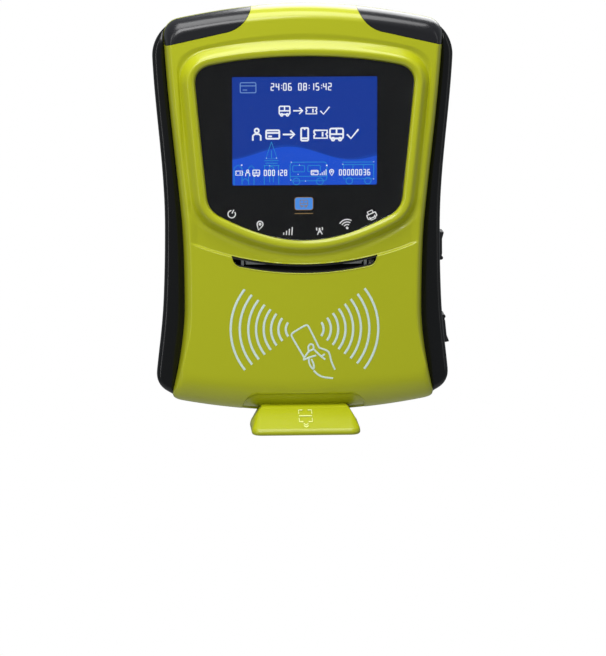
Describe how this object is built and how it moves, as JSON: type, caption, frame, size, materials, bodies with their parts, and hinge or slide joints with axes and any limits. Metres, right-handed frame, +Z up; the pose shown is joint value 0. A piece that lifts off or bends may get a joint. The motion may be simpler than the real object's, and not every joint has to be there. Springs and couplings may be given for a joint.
{
  "type": "ticket validator",
  "caption": "Pole-mounted fare terminal: moulded cover with display window, contactless reading face, ticket printer slot, downward code scanner, side service ports and a clamp.",
  "frame": {"origin": "centre of the pole clamp's bore, at half its height", "axes": "+Z up along the pole, the display faces -Y, +X is to the right of someone facing the display"},
  "size_m": [0.212, 0.1715, 0.3014],
  "materials": {
    "cover_green": "gloss moulded, yellow-green",
    "hood_green": "gloss moulded, yellow-green",
    "shoulder_black": "gloss moulded, black",
    "housing_black": "satin gloss moulded, black",
    "clear_window": "hard-coated clear acrylic, faintly smoked",
    "mask_black": "black film",
    "black_rubber": "soft foam and rubber",
    "liner_rubber": "ribbed rubber",
    "flap_rubber": "moulded rubber",
    "pressed_steel": "pressed sheet",
    "steel_screws": "zinc plated",
    "polished_steel": "ground and polished",
    "coated_steel": "black powder coat",
    "coated_alloy": "black powder coat",
    "bare_aluminium": "anodised",
    "brass": "turned",
    "copper": "printed copper track",
    "circuit_board": "green solder mask",
    "chip_black": "moulded resin",
    "led_resin": "clear resin",
    "screen": "lit colour display",
    "red_filter": "dark red clear acrylic",
    "socket_plastic": "moulded",
    "button_black": "gloss moulded",
    "gear_acetal": "white acetal",
    "card_tube": "wound cardboard",
    "paper": "thermal paper"
  },
  "bodies": {
    "housing": {"front_cover": "cover_green", "left_shoulder_cap": "shoulder_black", "right_shoulder_cap": "shoulder_black", "display_window": "clear_window", "window_mask": "mask_black", "display_gasket": "black_rubber", "display_frame": "pressed_steel", "display_glass": "screen", "indicator_board": "circuit_board", "indicator_leds": "led_resin", "antenna_board": "circuit_board", "antenna_coil": "copper", "main_board": "circuit_board", "main_board_chips": "chip_black", "heat_sink": "bare_aluminium", "board_standoffs": "brass", "scanner_hood": "hood_green", "scanner_window": "red_filter", "scan_engine": "chip_black", "rear_housing": "housing_black", "housing_seal": "black_rubber", "housing_screws": "steel_screws", "mount_plate": "coated_steel", "plate_screws": "steel_screws", "saddle_screws": "steel_screws", "pole_saddle": "coated_alloy", "pole_strap": "coated_alloy", "saddle_liner": "liner_rubber", "strap_liner": "liner_rubber", "clamp_bolts": "steel_screws", "power_socket": "socket_plastic", "power_socket_pins": "brass", "speaker": "chip_black", "port_shrouds": "socket_plastic", "button_switch": "chip_black", "io_board": "circuit_board", "io_pillars": "brass", "usb_socket": "pressed_steel", "card_socket": "pressed_steel", "printer_frame": "pressed_steel", "frame_screws": "steel_screws", "platen_bushes": "brass", "stepper_motor": "pressed_steel", "print_head": "bare_aluminium", "tear_bar": "polished_steel", "door_pin": "polished_steel"},
    "upper_flap": {"upper_port_flap": "flap_rubber"},
    "lower_flap": {"lower_port_flap": "flap_rubber"},
    "button": {"side_button": "button_black"},
    "platen": {"platen_shaft": "polished_steel", "platen_rubber": "black_rubber", "platen_gear": "gear_acetal"},
    "idler": {"idler_gear": "gear_acetal"},
    "motor_rotor": {"motor_shaft": "polished_steel", "motor_pinion": "brass"},
    "paper": {"paper_roll": "paper", "paper_core": "card_tube"},
    "door": {"paper_door": "housing_black"}
  },
  "joints": [
    {"name": "upper_flap_hinge", "type": "hinge", "parent": "housing", "child": "upper_flap", "pos_m": [0.0998, -0.08, -0.0352], "axis": [0, 1, 0], "range_deg": [0, 100]},
    {"name": "lower_flap_hinge", "type": "hinge", "parent": "housing", "child": "lower_flap", "pos_m": [0.1019, -0.08, -0.0777], "axis": [0, -1, 0], "range_deg": [0, 100]},
    {"name": "button_press", "type": "slide", "parent": "housing", "child": "button", "axis": [-1, 0, 0], "range_m": [0, 0.0012], "stiffness_N_per_m": 600, "springref_m": -0.001},
    {"name": "paper_spin", "type": "hinge", "parent": "housing", "child": "paper", "pos_m": [0, -0.074, -0.092], "axis": [1, 0, 0], "continuous": true},
    {"name": "platen_spin", "type": "hinge", "parent": "housing", "child": "platen", "pos_m": [0, -0.1045, -0.042], "axis": [1, 0, 0], "continuous": true},
    {"name": "idler_spin", "type": "hinge", "parent": "housing", "child": "idler", "pos_m": [0, -0.0876, -0.042], "axis": [1, 0, 0], "continuous": true},
    {"name": "motor_spin", "type": "hinge", "parent": "housing", "child": "motor_rotor", "pos_m": [0, -0.07712, -0.03595], "axis": [1, 0, 0], "continuous": true},
    {"name": "paper_door_hinge", "type": "hinge", "parent": "housing", "child": "door", "pos_m": [0, -0.049, -0.1324], "axis": [1, 0, 0], "range_deg": [0, 100]}
  ],
  "couplings": [
    {"joint": "platen_spin", "follows": "paper_spin", "ratio": -4},
    {"joint": "idler_spin", "follows": "paper_spin", "ratio": 4.4},
    {"joint": "motor_spin", "follows": "paper_spin", "ratio": -8.8}
  ]
}
